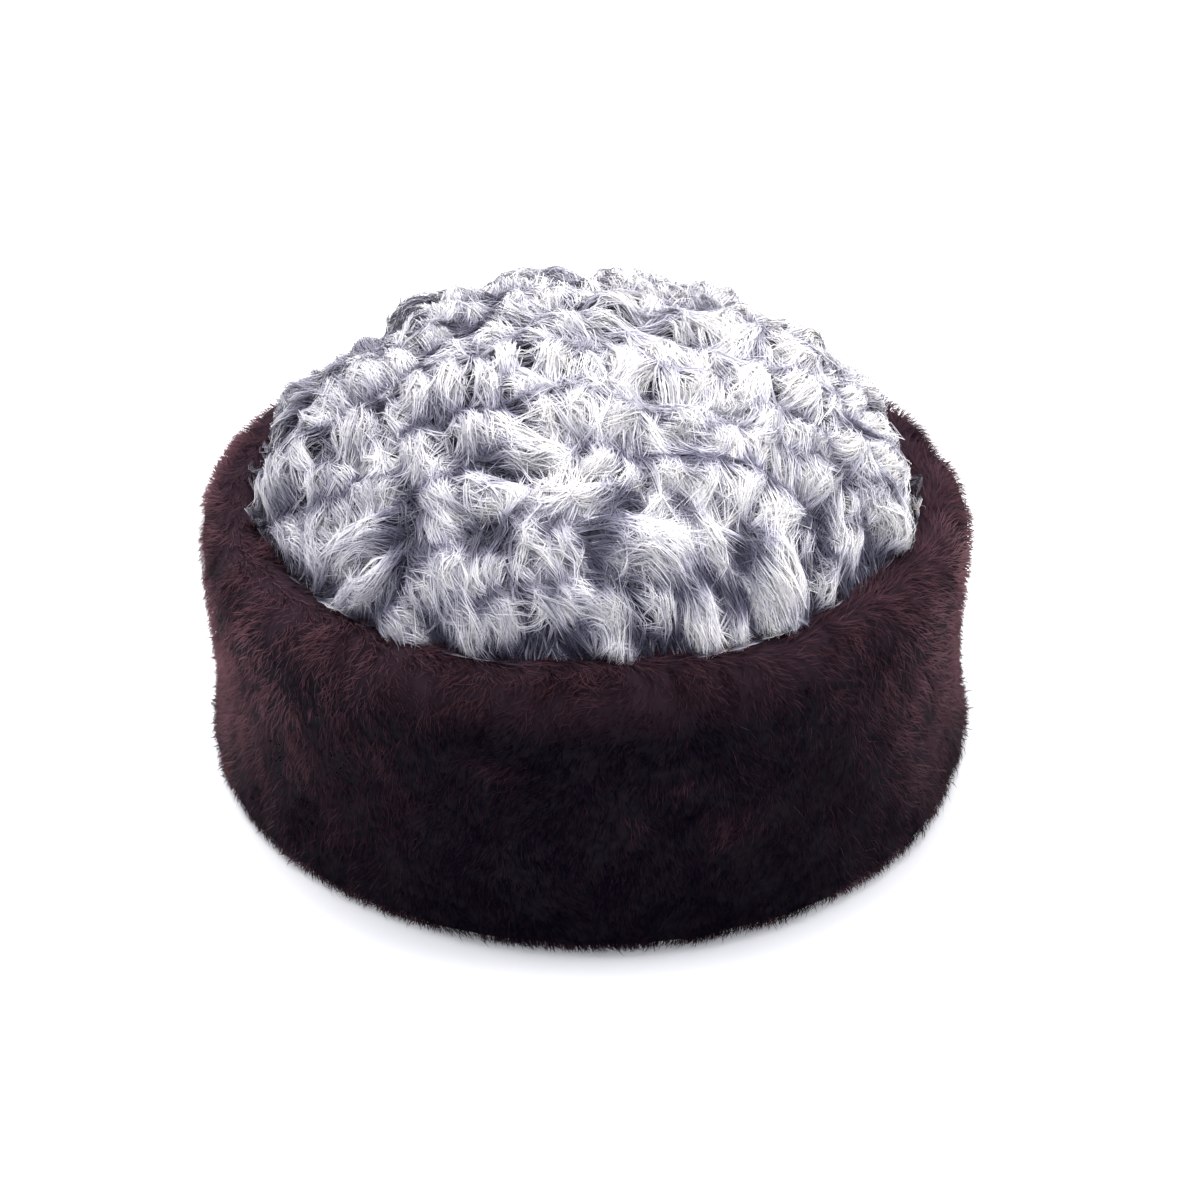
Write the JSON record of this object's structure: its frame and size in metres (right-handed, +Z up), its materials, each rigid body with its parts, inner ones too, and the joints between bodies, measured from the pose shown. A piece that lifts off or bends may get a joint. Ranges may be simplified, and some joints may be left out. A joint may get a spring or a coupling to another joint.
{
  "type": "fur pakol hat",
  "caption": "Round fur hat: a hollow domed crown of curly pale lamb pelt seated in a tall, thick cuff of short dark fur.",
  "frame": {"origin": "centre of the bounding box at the foot of the band, where the hat stands", "axes": "+Z up to the top of the crown, -Y towards the forehead, +X to the wearer's left; the hat is a little longer front to back than side to side"},
  "size_m": [0.23, 0.2346, 0.1354],
  "materials": {
    "lamb_pelt": "matt curly fur, grey-white with dark roots",
    "dark_fur": "soft short pile, dark brown"
  },
  "bodies": {
    "root": {"crown": "lamb_pelt", "band": "dark_fur"}
  },
  "joints": []
}
